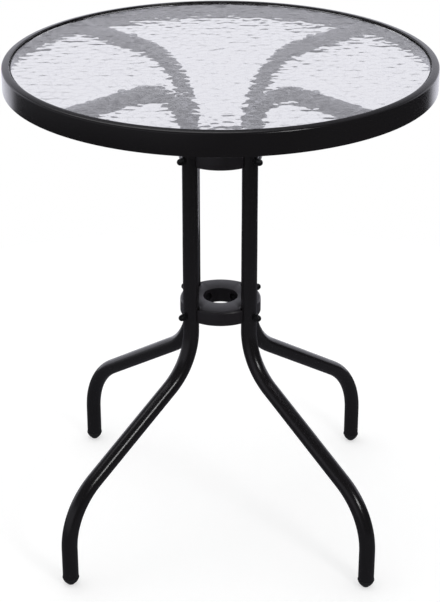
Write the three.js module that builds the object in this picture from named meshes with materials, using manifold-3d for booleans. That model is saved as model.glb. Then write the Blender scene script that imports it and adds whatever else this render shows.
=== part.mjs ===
// A round bistro table: a rippled glass top in a rolled steel rim, on four bent tubes.
// The tubes are held together at the middle by two moulded hubs with a bore for a pole.
// Millimetres, +Z up. The origin is on the floor, in the middle of the table; the front is -Y.

import * as THREE from 'three';
import { mergeVertices } from 'three/addons/utils/BufferGeometryUtils.js';
import Module from 'manifold-3d';

const wasm = await Module();
wasm.setup();

// The whole table
const tableHeight = 720;
const rimDiameter = 600;
const seatGap = 0.3; // between two pieces that bear on each other
const overrun = 5; // how far a cutter runs past what it cuts

// Rim: a band of sheet steel, turned inward to a lip and down again round the glass
const rimHeight = 33;
const rimSheet = 1.2;
const rimLipWidth = 10.5;
const rimLipRise = 1.5; // from the outer face to the lip's inner edge, its highest place
const rimCornerRadius = 3;
const rimFlangeHeight = 8;

// Glass, and the soft strip round its edge
const glassThickness = 4;
const glassBelowLip = 3;
const glassArris = 0.8;
const sealThickness = 1;

// Leg: one tube, bent three times in its own upright plane
const tubeDiameter = 23;
const tubeWall = 1.2;
const legCircleDiameter = 118;
const archRadius = 95;
const splayRadius = 95;
const footBendRadius = 110;
const footCircleDiameter = 600;
const footStraight = 46;
const armEndGap = 1.5;

// Hubs: two copies of one moulding, open underneath
const hubDiameter = 118;
const hubHeight = 22;
const hubWall = 2.5;
const hubEdgeRadius = 4;
const hubBottomEdge = 1;
const hubRibThickness = 2;
const hubBossWidth = 14.5;
const hubCollarWall = 3;
const poleBoreDiameter = 50.5;
const poleBoreEdge = 1;
const lowerHubHeight = 338.5; // underside of the lower hub over the floor
const hubBelowArch = 4.5; // from the start of the upper bend down to the upper hub
const splayBelowHub = 14; // from the lower hub down to the start of the lower bend

// Bolts through hub and tube, with domed cap nuts outside
const boltDiameter = 6;
const boltHoleDiameter = 6.8;
const boltHeadFlats = 10;
const boltHeadHeight = 4;
const boltHeadRecess = 0.6;
const nutHeight = 5;
const nutBarrelHeight = 1.6;
const nutDomeRadius = 4.75;
const nutThreadDepth = 6.5;

// Pads that carry the glass on the arms
const padHeight = 2.6; // from the arm up to the glass
const padDiameter = 11;
const padEdge = 1;
const padStemDiameter = 4.6;
const padHoleDiameter = 5.4;
const padBarbDiameter = 7;
const padBarbHeight = 2.5;
const padFromAxis = 180;

// Spigots welded to the rim, and the screws that lock the arms on them
const spigotLength = 36;
const spigotWall = 2;
const screwFromRim = 18;
const screwDiameter = 4.6;
const screwHoleDiameter = 5.4;
const screwHeadDiameter = 9;
const screwHeadHeight = 2.4;
const screwReach = 2.6;

// Foot caps
const capHeight = 12;
const capFlangeHeight = 1.6;
const capFlangeLip = 0.6;
const capTipDiameter = 10;
const capPlugLength = 18;
const capPlugWall = 1.8;
const capTaperBulge = 1.1;

// How finely round forms are faceted. The rim's count is a multiple of 8, so that
// the arms, which stand at 45 degrees, meet it at a corner of its outline.
const rimSides = 56;
const hubSides = 24;
const tubeSides = 16;
const boreSides = 12;
const smallSides = 12;
const holeSides = 8;
const hexSides = 6;
const cornerSteps = 2;
const archSteps = 7;
const splaySteps = 5;
const taperSteps = 3;

// Places worked out from the sizes above
const rimRadius = rimDiameter / 2;
const rimBottom = tableHeight - rimHeight;
const rimWallInside = rimRadius - rimSheet;
const lipInside = rimRadius - rimLipWidth;
const lipLean = Math.atan2(rimLipRise, rimLipWidth);
const glassTop = tableHeight - glassBelowLip;
const glassBottom = glassTop - glassThickness;
const sealRadius = lipInside - seatGap;
const glassRadius = sealRadius - sealThickness - seatGap;

const tubeRadius = tubeDiameter / 2;
const tubeInside = tubeRadius - tubeWall;
const tubeInsideFlat = tubeInside * Math.cos(Math.PI / boreSides);
const legCircle = legCircleDiameter / 2;
const footCircle = footCircleDiameter / 2;
const armHeight = glassBottom - seatGap - padHeight - tubeRadius;
const armEnd = rimWallInside - armEndGap;
const archStart = armHeight - archRadius;
const upperHubHeight = archStart - hubBelowArch - hubHeight;
const splayStart = lowerHubHeight - splayBelowHub;
const tubeEnd = capHeight + seatGap;

const hubRadius = hubDiameter / 2;
const boltHeight = hubHeight / 2;
const boreRadius = poleBoreDiameter / 2;
const collarRadius = boreRadius + hubCollarWall;
const saddleRadius = tubeRadius + seatGap;
const boltHeadRadius = boltHeadFlats / 2 / Math.cos(Math.PI / hexSides);
const boltHeadInner = boreRadius + boltHeadRecess;
const boltHeadOuter = boltHeadInner + boltHeadHeight;
const nutSeat = legCircle + tubeRadius + seatGap;
const boltEnd = nutSeat + nutThreadDepth - seatGap;

const spigotRadius = tubeInsideFlat - seatGap;
const screwFromAxis = rimRadius - screwFromRim;
const capPlugRadius = tubeInsideFlat - seatGap;

// Finishes
const blackPaint = new THREE.MeshStandardMaterial({ color: 0x17171a, roughness: 0.38, metalness: 0.1 });
const clearGlass = new THREE.MeshStandardMaterial({
  color: 0xdfe6ea, roughness: 0.08, metalness: 0, transparent: true, opacity: 0.4,
});
const greyPlastic = new THREE.MeshStandardMaterial({ color: 0x35343a, roughness: 0.6, metalness: 0 });
const greyRubber = new THREE.MeshStandardMaterial({ color: 0x89898c, roughness: 0.75, metalness: 0 });
const blackPlastic = new THREE.MeshStandardMaterial({ color: 0x1c1c1e, roughness: 0.45, metalness: 0 });
const blackVinyl = new THREE.MeshStandardMaterial({ color: 0x202022, roughness: 0.5, metalness: 0 });
const blackSteel = new THREE.MeshStandardMaterial({ color: 0x1a1a1c, roughness: 0.32, metalness: 0.5 });

// Shapes

// Points of an arc in a plane, from one angle to another, in degrees.
function arc(centreX, centreY, radius, fromDegrees, toDegrees, steps) {
  return Array.from({ length: steps + 1 }, (_, i) => {
    const angle = THREE.MathUtils.degToRad(fromDegrees + ((toDegrees - fromDegrees) * i) / steps);
    return [centreX + radius * Math.cos(angle), centreY + radius * Math.sin(angle)];
  });
}

// Corners of a regular polygon with one corner on the X axis.
function polygon(radius, sides) {
  return arc(0, 0, radius, 0, 360, sides).slice(0, sides).map(([x, y]) => new THREE.Vector2(x, y));
}

// A closed outline of [radius, height] points, turned about Z. Anticlockwise faces out.
function revolve(outline, sides) {
  const closed = outline[0][0] === 0 ? outline : [...outline, outline[0]];
  const points = closed.map(([radius, height]) => new THREE.Vector2(radius, height));
  return new THREE.LatheGeometry(points, sides).rotateX(Math.PI / 2);
}

// A plain round bar about Z between two heights.
function bar(radius, bottom, top, sides) {
  return revolve([[0, bottom], [radius, bottom], [radius, top], [0, top]], sides);
}

// The same bar laid along X, between two distances from the axis, at a height.
function radialBar(radius, inner, outer, height, sides) {
  return bar(radius, inner, outer, sides).rotateY(Math.PI / 2).translate(0, 0, height);
}

// A box from its lowest and highest corners.
function block(low, high) {
  const size = high.map((value, i) => value - low[i]);
  const middle = high.map((value, i) => (value + low[i]) / 2);
  return new THREE.BoxGeometry(...size).translate(...middle);
}

// Drops the triangles that a turned outline leaves collapsed at its axis.
function withoutSlivers(index) {
  const kept = [];
  for (let i = 0; i < index.length; i += 3) {
    const [a, b, c] = [index[i], index[i + 1], index[i + 2]];
    if (a !== b && b !== c && c !== a) kept.push(a, b, c);
  }
  return kept;
}

// A three.js geometry as a solid that can be cut and joined.
function solid(geometry) {
  const bare = geometry.clone();
  bare.deleteAttribute('normal');
  bare.deleteAttribute('uv');
  const merged = mergeVertices(bare);
  const vertProperties = new Float32Array(merged.attributes.position.array);
  const triVerts = new Uint32Array(withoutSlivers(merged.index.array));
  return new wasm.Manifold(new wasm.Mesh({ numProp: 3, vertProperties, triVerts }));
}

// A solid back as a geometry.
function geometryOf(body) {
  const mesh = body.getMesh();
  const geometry = new THREE.BufferGeometry();
  geometry.setAttribute('position', new THREE.BufferAttribute(mesh.vertProperties, 3));
  geometry.setIndex(new THREE.BufferAttribute(mesh.triVerts, 1));
  geometry.computeVertexNormals();
  return geometry;
}

// One body less a list of cutters.
function cut(body, cutters) {
  return cutters.reduce((rest, cutter) => rest.subtract(cutter), body);
}

// One body made of several that meet.
function join(bodies) {
  return bodies.reduce((sum, body) => sum.add(body));
}

// The same geometry turned to each of the four corners, as solids.
function atCorners(geometry) {
  return corners.map(({ turn }) => solid(geometry.clone().rotateZ(turn)));
}

// The four corners, each with the angle of its leg from +X.
const corners = ['back_right', 'back_left', 'front_left', 'front_right'].map((name, i) => ({
  name,
  turn: Math.PI / 4 + (i * Math.PI) / 2,
}));

// Rim

// A line offset to its left by a distance, with mitred corners.
function offsetLeft(line, distance) {
  const points = line.map(([x, y]) => new THREE.Vector2(x, y));
  const directions = points.slice(1).map((point, i) => point.clone().sub(points[i]).normalize());
  return points.map((point, i) => {
    const before = directions[Math.max(i - 1, 0)];
    const after = directions[Math.min(i, directions.length - 1)];
    const middle = before.clone().add(after).normalize();
    const reach = distance / middle.dot(after);
    return [point.x - middle.y * reach, point.y + middle.x * reach];
  });
}

// The height of a line that follows the lip at a depth below its face, at a radius.
function lipHeight(radius, depth) {
  return tableHeight - (radius - lipInside) * Math.tan(lipLean) - depth / Math.cos(lipLean);
}

// The face of the band that shows, from its lower edge up the outside, round the corner,
// along the lip and down the flange round the glass.
function rimFace() {
  const cornerCentre = rimRadius - rimCornerRadius;
  const cornerHeight = lipHeight(cornerCentre, rimCornerRadius);
  const cornerEnd = 90 - THREE.MathUtils.radToDeg(lipLean);
  return [
    [rimRadius, rimBottom],
    ...arc(cornerCentre, cornerHeight, rimCornerRadius, 0, cornerEnd, cornerSteps),
    [lipInside, tableHeight],
    [lipInside, tableHeight - rimFlangeHeight],
  ];
}

function rimGeometry() {
  const face = rimFace();
  return revolve([...face, ...offsetLeft(face, rimSheet).reverse()], rimSides);
}

// Glass and seal

function glassGeometry() {
  return revolve([
    [0, glassBottom],
    [glassRadius - glassArris, glassBottom],
    [glassRadius, glassBottom + glassArris],
    [glassRadius, glassTop - glassArris],
    [glassRadius - glassArris, glassTop],
    [0, glassTop],
  ], rimSides);
}

// The soft strip between the edge of the glass and the flange.
function sealGeometry() {
  const inner = sealRadius - sealThickness;
  const bottom = glassBottom + glassArris;
  const top = glassTop - glassArris;
  return revolve([[inner, bottom], [sealRadius, bottom], [sealRadius, top], [inner, top]], rimSides);
}

// Leg

// The tangent line that leads from the splay bend to the foot bend: its length, and the
// angle from plumb through which both bends turn.
function slopeOfLeg() {
  const radii = splayRadius + footBendRadius;
  const across = footCircle - legCircle - radii;
  const down = splayStart - tubeEnd - footStraight;
  const length = Math.sqrt(across ** 2 + down ** 2 - radii ** 2);
  return { length, angle: Math.atan2(across, down) + Math.atan2(radii, length) };
}

// The leg as a bender would read it: straight runs, and bends with a radius and a turn.
function legRuns() {
  const slope = slopeOfLeg();
  return [
    { straight: armEnd - legCircle - archRadius },
    { bend: archRadius, turn: Math.PI / 2, steps: archSteps },
    { straight: archStart - splayStart },
    { bend: splayRadius, turn: slope.angle, steps: splaySteps },
    { straight: slope.length },
    { bend: footBendRadius, turn: -slope.angle, steps: splaySteps },
    { straight: footStraight },
  ];
}

// The end of a straight run, from a station that has a place and a heading.
function afterStraight(from, length) {
  const x = from.x + length * Math.cos(from.heading);
  const z = from.z + length * Math.sin(from.heading);
  return { x, z, heading: from.heading };
}

// The stations of a bend: points on a circle beside the heading, to its left for a turn
// above zero and to its right for one below.
function alongBend(from, { bend, turn, steps }) {
  const side = Math.sign(turn) * bend;
  const centreX = from.x - side * Math.sin(from.heading);
  const centreZ = from.z + side * Math.cos(from.heading);
  return Array.from({ length: steps }, (_, i) => {
    const heading = from.heading + (turn * (i + 1)) / steps;
    return { x: centreX + side * Math.sin(heading), z: centreZ - side * Math.cos(heading), heading };
  });
}

// Every station of the leg's centre line, from the end of the arm to the foot.
function legStations() {
  const stations = [{ x: armEnd, z: armHeight, heading: Math.PI }];
  for (const run of legRuns()) {
    const last = stations[stations.length - 1];
    stations.push(...(run.bend ? alongBend(last, run) : [afterStraight(last, run.straight)]));
  }
  return stations;
}

// The centre line as a curve whose steps fall on the stations, so that straight runs
// take one step and only the bends are divided.
class TubeRoute extends THREE.Curve {
  constructor(stations) {
    super();
    this.stations = stations;
  }

  stationAt(share) {
    return this.stations[Math.round(share * (this.stations.length - 1))];
  }

  getPointAt(share, target = new THREE.Vector3()) {
    const { x, z } = this.stationAt(share);
    return target.set(x, 0, z);
  }

  getTangentAt(share, target = new THREE.Vector3()) {
    const { heading } = this.stationAt(share);
    return target.set(Math.cos(heading), 0, Math.sin(heading));
  }
}

function tubeGeometry() {
  const stations = legStations();
  const section = new THREE.Shape(polygon(tubeRadius, tubeSides));
  section.holes.push(new THREE.Path(polygon(tubeInside, boreSides)));
  const settings = { steps: stations.length - 1, extrudePath: new TubeRoute(stations) };
  return new THREE.ExtrudeGeometry(section, settings);
}

// The tube with its two bolt holes, the pad's hole on top and the screw's hole below.
function legGeometry() {
  const through = [legCircle - tubeDiameter, legCircle + tubeDiameter];
  const holes = [
    ...[lowerHubHeight, upperHubHeight].map((height) =>
      radialBar(boltHoleDiameter / 2, ...through, height + boltHeight, holeSides)),
    bar(padHoleDiameter / 2, armHeight, armHeight + tubeDiameter, holeSides).translate(padFromAxis, 0, 0),
    bar(screwHoleDiameter / 2, armHeight - tubeDiameter, armHeight, holeSides).translate(screwFromAxis, 0, 0),
  ];
  return geometryOf(cut(solid(tubeGeometry()), holes.map(solid)));
}

// Hub, with its underside at zero height

// The disc before it is hollowed: rounded over at the top, eased at the bottom.
function hubDisc() {
  return revolve([
    [0, 0],
    [hubRadius - hubBottomEdge, 0],
    [hubRadius, hubBottomEdge],
    ...arc(hubRadius - hubEdgeRadius, hubHeight - hubEdgeRadius, hubEdgeRadius, 0, 90, cornerSteps),
    [0, hubHeight],
  ], hubSides);
}

// What stays standing inside the shell: the collar, a wall round each saddle, the
// bosses that the bolts pass through, and a rib midway between the bosses.
function hubWebs() {
  const above = hubHeight + overrun;
  const saddleWall = bar(saddleRadius + hubWall, -overrun, above, tubeSides).translate(legCircle, 0, 0);
  const boss = block([0, -hubBossWidth / 2, -overrun], [legCircle, hubBossWidth / 2, above]);
  const rib = block([0, -hubRibThickness / 2, -overrun], [hubRadius, hubRibThickness / 2, above]);
  return [
    solid(bar(collarRadius, -overrun, above, hubSides)),
    ...atCorners(saddleWall),
    ...atCorners(boss),
    ...atCorners(rib.rotateZ(Math.PI / 4)),
  ];
}

// The hollow under the top face.
function hubHollow() {
  const chamber = bar(hubRadius - hubWall, -overrun, hubHeight - hubWall, hubSides);
  return cut(solid(chamber), hubWebs());
}

// The bore for the pole, eased at its upper edge.
function poleBore() {
  return revolve([
    [0, -overrun],
    [boreRadius, -overrun],
    [boreRadius, hubHeight - poleBoreEdge],
    [boreRadius + poleBoreEdge, hubHeight],
    [boreRadius + poleBoreEdge, hubHeight + overrun],
    [0, hubHeight + overrun],
  ], hubSides);
}

function hubGeometry() {
  const saddle = bar(saddleRadius, -overrun, hubHeight + overrun, tubeSides).translate(legCircle, 0, 0);
  const boltHole = radialBar(boltHoleDiameter / 2, 0, hubRadius, boltHeight, holeSides);
  const headPocket = radialBar(boltHeadRadius + seatGap, 0, boltHeadOuter + seatGap, boltHeight, smallSides);
  return geometryOf(cut(solid(hubDisc()), [
    ...atCorners(saddle),
    hubHollow(),
    solid(poleBore()),
    ...atCorners(boltHole),
    ...atCorners(headPocket),
  ]));
}

// Fasteners, laid along X at zero height

// A bolt with a six-sided head in the hub, reaching out through the tube.
function boltGeometry() {
  const head = radialBar(boltHeadRadius, boltHeadInner, boltHeadOuter, 0, hexSides);
  const shank = radialBar(boltDiameter / 2, boltHeadInner + boltHeadHeight / 2, boltEnd, 0, holeSides);
  return geometryOf(join([solid(head), solid(shank)]));
}

// A domed cap nut with a blind hole that faces the tube.
function nutGeometry() {
  const domeStart = nutHeight + nutBarrelHeight;
  const hexagon = bar(boltHeadRadius, 0, nutHeight, hexSides);
  const dome = revolve([
    [0, nutHeight / 2],
    [nutDomeRadius, nutHeight / 2],
    ...arc(0, domeStart, nutDomeRadius, 0, 90, taperSteps).slice(0, taperSteps),
    [0, domeStart + nutDomeRadius],
  ], holeSides);
  const thread = bar(boltDiameter / 2 + seatGap, -overrun, nutThreadDepth + seatGap, holeSides);
  const nut = geometryOf(cut(join([solid(hexagon), solid(dome)]), [solid(thread)]));
  return nut.rotateY(Math.PI / 2).translate(nutSeat, 0, 0);
}

// Pad, upright on the arm

// A rubber button: a saddle that fits the tube, a flat top, and a stem with a barb.
function padGeometry() {
  const top = glassBottom - seatGap;
  const barbTop = armHeight + Math.sqrt(tubeInsideFlat ** 2 - (padBarbDiameter / 2) ** 2) - seatGap;
  const button = revolve([
    [0, armHeight],
    [padDiameter / 2, armHeight],
    [padDiameter / 2, top - padEdge],
    [padDiameter / 2 - padEdge, top],
    [0, top],
  ], smallSides);
  const stem = revolve([
    [0, barbTop - padBarbHeight],
    [padStemDiameter / 2, barbTop - padBarbHeight],
    [padBarbDiameter / 2, barbTop],
    [padStemDiameter / 2, barbTop],
    [padStemDiameter / 2, top - padEdge],
    [0, top - padEdge],
  ], smallSides);
  const tube = radialBar(saddleRadius, -padDiameter, padDiameter, armHeight, tubeSides);
  const saddled = solid(button).subtract(solid(tube));
  return geometryOf(saddled.add(solid(stem))).translate(padFromAxis, 0, 0);
}

// Spigot and its screw

// A short thick tube whose outer end is cut to the curve of the rim's wall.
function spigotGeometry() {
  const inner = rimWallInside - spigotLength;
  const outside = radialBar(spigotRadius, inner, rimRadius, armHeight, boreSides);
  const inside = radialBar(spigotRadius - spigotWall, inner - overrun, rimRadius, armHeight, boreSides);
  const rimInside = bar(rimWallInside - seatGap, armHeight - tubeRadius, armHeight + tubeRadius, rimSides);
  const thread = bar(screwDiameter / 2 + seatGap, armHeight - tubeRadius, armHeight, holeSides);
  return geometryOf(solid(outside)
    .intersect(solid(rimInside))
    .subtract(solid(inside))
    .subtract(solid(thread.translate(screwFromAxis, 0, 0))));
}

// A low round-headed screw, pointing up into the spigot.
function screwGeometry() {
  const seat = armHeight - tubeRadius - seatGap;
  const shank = screwDiameter / 2;
  const head = screwHeadDiameter / 2;
  return revolve([
    [0, seat - screwHeadHeight],
    [head / 2, seat - screwHeadHeight],
    [head, seat - screwHeadHeight / 2],
    [head, seat],
    [shank, seat],
    [shank, seat + tubeWall + spigotWall + screwReach],
    [0, seat + tubeWall + spigotWall + screwReach],
  ], smallSides).translate(screwFromAxis, 0, 0);
}

// Foot cap

// The taper from the flange to the tip: a straight slope that swells by a small bulge.
function capTaper() {
  const tip = capTipDiameter / 2;
  const flange = tubeRadius + capFlangeLip;
  return Array.from({ length: taperSteps + 1 }, (_, i) => {
    const share = i / taperSteps;
    const bulge = capTaperBulge * Math.sin(Math.PI * share);
    return [tip + (flange - tip) * share + bulge, (capHeight - capFlangeHeight) * share];
  });
}

// A plastic cap: a tapered foot, a flange that the tube's end sits on, a hollow plug.
function capGeometry() {
  const plugTop = tubeEnd + capPlugLength;
  return revolve([
    [0, 0],
    ...capTaper(),
    [tubeRadius + capFlangeLip, capHeight],
    [capPlugRadius, capHeight],
    [capPlugRadius, plugTop],
    [capPlugRadius - capPlugWall, plugTop],
    [capPlugRadius - capPlugWall, capHeight],
    [0, capHeight],
  ], tubeSides).translate(footCircle, 0, 0);
}

// The assembly

function piece(name, geometry, material) {
  const mesh = new THREE.Mesh(geometry, material);
  mesh.name = name;
  return mesh;
}

// The same piece, raised by a height.
function raised(mesh, height) {
  mesh.position.z = height;
  return mesh;
}

// What one corner of the table carries, drawn along +X and turned to its corner.
function cornerGroup({ name, turn }, shapes) {
  const group = new THREE.Group();
  group.add(
    piece(`leg_${name}`, shapes.leg, blackPaint),
    piece(`glass_pad_${name}`, shapes.pad, greyRubber),
    piece(`rim_spigot_${name}`, shapes.spigot, blackSteel),
    piece(`arm_screw_${name}`, shapes.screw, blackSteel),
    piece(`foot_cap_${name}`, shapes.cap, blackPlastic),
  );
  for (const [level, height] of [['lower', lowerHubHeight], ['upper', upperHubHeight]]) {
    group.add(
      raised(piece(`${level}_bolt_${name}`, shapes.bolt, blackSteel), height + boltHeight),
      raised(piece(`${level}_cap_nut_${name}`, shapes.nut, blackSteel), height + boltHeight),
    );
  }
  group.rotation.z = turn;
  return group;
}

function buildTable() {
  const table = new THREE.Group();
  const hub = hubGeometry();
  table.add(
    piece('rim', rimGeometry(), blackPaint),
    piece('glass_top', glassGeometry(), clearGlass),
    piece('glass_seal', sealGeometry(), blackVinyl),
    raised(piece('lower_hub', hub, greyPlastic), lowerHubHeight),
    raised(piece('upper_hub', hub, greyPlastic), upperHubHeight),
  );
  const shapes = {
    leg: legGeometry(),
    pad: padGeometry(),
    spigot: spigotGeometry(),
    screw: screwGeometry(),
    cap: capGeometry(),
    bolt: boltGeometry(),
    nut: nutGeometry(),
  };
  for (const corner of corners) table.add(cornerGroup(corner, shapes));
  return table;
}

export default buildTable();
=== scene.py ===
"""A round bistro table with a rippled glass top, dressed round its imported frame.

Metres, +Z up, the front towards -Y. The four legs stand at 45 degrees between the axes.
"""

import logging
import math
from abc import ABC, abstractmethod
from collections.abc import Sequence
from dataclasses import dataclass, field
from enum import Enum

import bpy
import numpy as np
from mathutils import Matrix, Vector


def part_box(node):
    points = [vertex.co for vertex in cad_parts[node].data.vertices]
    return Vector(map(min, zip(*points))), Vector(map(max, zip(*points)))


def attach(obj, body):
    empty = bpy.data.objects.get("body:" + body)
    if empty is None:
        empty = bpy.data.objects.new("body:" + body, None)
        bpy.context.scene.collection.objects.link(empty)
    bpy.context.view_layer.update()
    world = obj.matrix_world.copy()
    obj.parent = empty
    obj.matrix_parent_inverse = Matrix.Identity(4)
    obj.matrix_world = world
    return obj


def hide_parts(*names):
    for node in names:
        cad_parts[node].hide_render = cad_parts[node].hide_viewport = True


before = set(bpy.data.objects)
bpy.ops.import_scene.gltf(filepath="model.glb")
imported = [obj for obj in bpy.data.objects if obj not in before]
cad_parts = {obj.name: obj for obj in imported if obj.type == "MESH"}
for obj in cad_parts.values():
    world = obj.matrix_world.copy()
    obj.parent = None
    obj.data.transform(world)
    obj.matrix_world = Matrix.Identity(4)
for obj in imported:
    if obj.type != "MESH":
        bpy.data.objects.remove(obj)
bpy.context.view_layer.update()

Pair = tuple[float, float]
Triple = tuple[float, float, float]

MM = 0.001
TURN = 2 * math.pi
BODY = "root"
SHARP_DEGREES = 32.0
LOG = logging.getLogger("table")

# The places of the Mix node's factor, colours and outcome among its sockets
MIX_FACTOR, MIX_FIRST, MIX_SECOND, MIX_RESULT = 0, 6, 7, 2


class Corner(Enum):
    """The four corners of the stand, with the angle of each leg from +X in degrees."""

    BACK_RIGHT = 45
    BACK_LEFT = 135
    FRONT_LEFT = 225
    FRONT_RIGHT = 315

    @property
    def label(self) -> str:
        """The corner's name as the frame's nodes end in it."""
        return self.name.lower()

    @property
    def angle(self) -> float:
        """The corner's angle in radians."""
        return math.radians(self.value)


class Level(Enum):
    """The two heights at which a hub holds the legs."""

    LOWER = "lower"
    UPPER = "upper"


class Operation(Enum):
    """What becomes of the second mesh in a boolean, in the modifier's own words."""

    JOIN = "UNION"
    CUT = "DIFFERENCE"


# Surfaces


def around(columns: int) -> np.ndarray:
    """Equal angles round a circle in radians, from 0."""
    return np.arange(columns) * TURN / columns


def compass(angles: np.ndarray) -> np.ndarray:
    """The unit vectors (cos a, sin a) of angles in radians."""
    return np.stack([np.cos(angles), np.sin(angles)], axis=1)


def at_height(line: np.ndarray, height: float) -> np.ndarray:
    """The points of a plane line at one height."""
    return np.concatenate([line, np.full((len(line), 1), height)], axis=1)


def arc(centre: Pair, radius: float, start: float, end: float, steps: int) -> np.ndarray:
    """Points c + r(cos a, sin a) on an arc.

    Args:
        centre: the arc's centre in the plane.
        radius: its radius.
        start: the first angle in degrees.
        end: the last angle in degrees.
        steps: the number of steps between them.

    Returns:
        An array of steps + 1 points.
    """
    return np.array(centre) + radius * compass(np.radians(np.linspace(start, end, steps + 1)))


def offset_left(line: np.ndarray, distance: float) -> np.ndarray:
    """A plane line moved to its left: each point p goes to p + d·m / (m·n).

    Here n is the left normal of the stretch after the point, and m the mean of it and the one before.

    Args:
        line: the points of the line.
        distance: how far it moves.

    Returns:
        As many points, with mitred corners.
    """
    steps = np.diff(line, axis=0)
    steps /= np.linalg.norm(steps, axis=1, keepdims=True)
    normals = np.stack([-steps[:, 1], steps[:, 0]], axis=1)
    after = np.concatenate([normals, normals[-1:]])
    before = np.concatenate([normals[:1], normals])
    middle = before + after
    middle /= np.linalg.norm(middle, axis=1, keepdims=True)
    return line + distance * middle / np.sum(middle * after, axis=1, keepdims=True)


def eased(outline: np.ndarray, corners: dict[int, float], steps: int = 4) -> np.ndarray:
    """A closed plane line with some corners rounded: (1 - t)² a + 2 t (1 - t) p + t² c.

    Here p is the corner, and a and c lie on its two sides at the corner's own distance.

    Args:
        outline: the points of the line, the last joined to the first.
        corners: the distance for each corner that is rounded, by its place in the line.
        steps: the number of steps in each rounding.

    Returns:
        The line with the roundings in place of those corners.
    """
    share = np.linspace(0, 1, steps + 1)[:, None]
    pieces, done = [], 0
    for place, distance in sorted(corners.items()):
        point = outline[place]
        sides = np.array([outline[place - 1], outline[(place + 1) % len(outline)]]) - point
        near, far = point + distance * sides / np.linalg.norm(sides, axis=1, keepdims=True)
        rounding = (1 - share) ** 2 * near + 2 * share * (1 - share) * point + share ** 2 * far
        pieces += [outline[done:place], rounding]
        done = place + 1
    return np.concatenate([*pieces, outline[done:]])


def turned(profile: np.ndarray, columns: int, limit: np.ndarray | float = math.inf) -> np.ndarray:
    """The grid (r cos a, r sin a, z) of a profile of (r, z) points turned about Z.

    Args:
        profile: the points of the profile.
        columns: the number of columns round the axis.
        limit: the largest radius there may be, for each column or for all.

    Returns:
        A row of points for each point of the profile.
    """
    angles = around(columns)
    radius, height = np.minimum(profile[:, 0, None], limit), profile[:, 1, None]
    return np.stack(np.broadcast_arrays(radius * np.cos(angles), radius * np.sin(angles), height), axis=2)


def spun(points: np.ndarray, angle: float) -> np.ndarray:
    """Points turned about Z by an angle in radians.

    Args:
        points: rows of two or three coordinates.
        angle: the angle, anticlockwise from above.

    Returns:
        As many points.
    """
    cos, sin = math.cos(angle), math.sin(angle)
    turn = np.eye(points.shape[-1])
    turn[:2, :2] = [[cos, sin], [-sin, cos]]
    return points @ turn


def laid(points: np.ndarray) -> np.ndarray:
    """Points of a form about Z laid down along X: (x, y, z) goes to (z, y, -x)."""
    return np.stack([points[..., 2], points[..., 1], -points[..., 0]], axis=-1)


@dataclass(frozen=True)
class Shell:
    """One closed surface: its vertices, and its faces in groups, anticlockwise from outside."""

    points: np.ndarray
    faces: list[np.ndarray]

    def moved(self, x: float = 0, z: float = 0) -> "Shell":
        """The same surface moved along X and Z."""
        return Shell(self.points + np.array([x, 0, z]), self.faces)

    def spun(self, angle: float) -> "Shell":
        """The same surface turned about Z."""
        return Shell(spun(self.points, angle), self.faces)


def quads(rows: int, columns: int, closed: bool) -> np.ndarray:
    """The faces of a grid whose columns run round, with its rows closed to a ring or not.

    Face (i, j) joins points (i, j), (i, j+1), (i+1, j+1) and (i+1, j), with counts wrapped.

    Args:
        rows: the number of rows.
        columns: the number of columns.
        closed: whether the last row joins the first.

    Returns:
        An array of four indices for each face.
    """
    i, j = np.meshgrid(np.arange(rows if closed else rows - 1), np.arange(columns), indexing="ij")
    i_next, j_next = (i + 1) % rows, (j + 1) % columns
    corners = [i * columns + j, i * columns + j_next, i_next * columns + j_next, i_next * columns + j]
    return np.stack(corners, axis=-1).reshape(-1, 4)


def ring_shell(grid: np.ndarray) -> Shell:
    """A closed surface from a grid that wraps both ways."""
    rows, columns, _ = grid.shape
    return Shell(grid.reshape(-1, 3), [quads(rows, columns, True)])


def capped_shell(grid: np.ndarray) -> Shell:
    """A closed surface from a grid whose first and last rows each shrink to a point.

    Args:
        grid: points in rows and columns, the columns round the axis.

    Returns:
        The surface, with each pole as one vertex and a fan of triangles.
    """
    rows, columns, _ = grid.shape
    inner = grid[1:-1].reshape(-1, 3)
    points = np.concatenate([inner, grid[0, :1], grid[-1, :1]])
    first, last = len(inner), len(inner) + 1
    here = np.arange(columns)
    after = (here + 1) % columns
    top = (rows - 3) * columns
    start = np.stack([np.full(columns, first), after, here], axis=1)
    end = np.stack([top + here, top + after, np.full(columns, last)], axis=1)
    return Shell(points, [quads(rows - 2, columns, False), start, end])


def linked(name: str, data: bpy.types.ID) -> bpy.types.Object:
    """A new object of a mesh, lamp or camera, linked to the scene.

    Args:
        name: the object's name.
        data: what it shows.

    Returns:
        The object, at the origin.
    """
    made = bpy.data.objects.new(name, data)
    bpy.context.scene.collection.objects.link(made)
    return made


def smooth(mesh: bpy.types.Mesh, sharp: float) -> None:
    """Shades a mesh smooth but for the edges that are sharper than an angle in degrees."""
    mesh.shade_smooth()
    mesh.set_sharp_from_angle(angle=math.radians(sharp))


def piece_of(name: str, *shells: Shell, sharp: float = SHARP_DEGREES) -> bpy.types.Object:
    """One object of closed surfaces, shaded smooth but for its sharp edges.

    Args:
        name: the object's name.
        *shells: the surfaces.
        sharp: the angle in degrees from which an edge is sharp.

    Returns:
        The object, linked to the scene.
    """
    faces, base = [], 0
    for shell in shells:
        for group in shell.faces:
            faces += (group + base).tolist()
        base += len(shell.points)
    mesh = bpy.data.meshes.new(name)
    mesh.from_pydata(np.concatenate([shell.points for shell in shells]).tolist(), [], faces)
    smooth(mesh, sharp)
    return linked(name, mesh)


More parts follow.
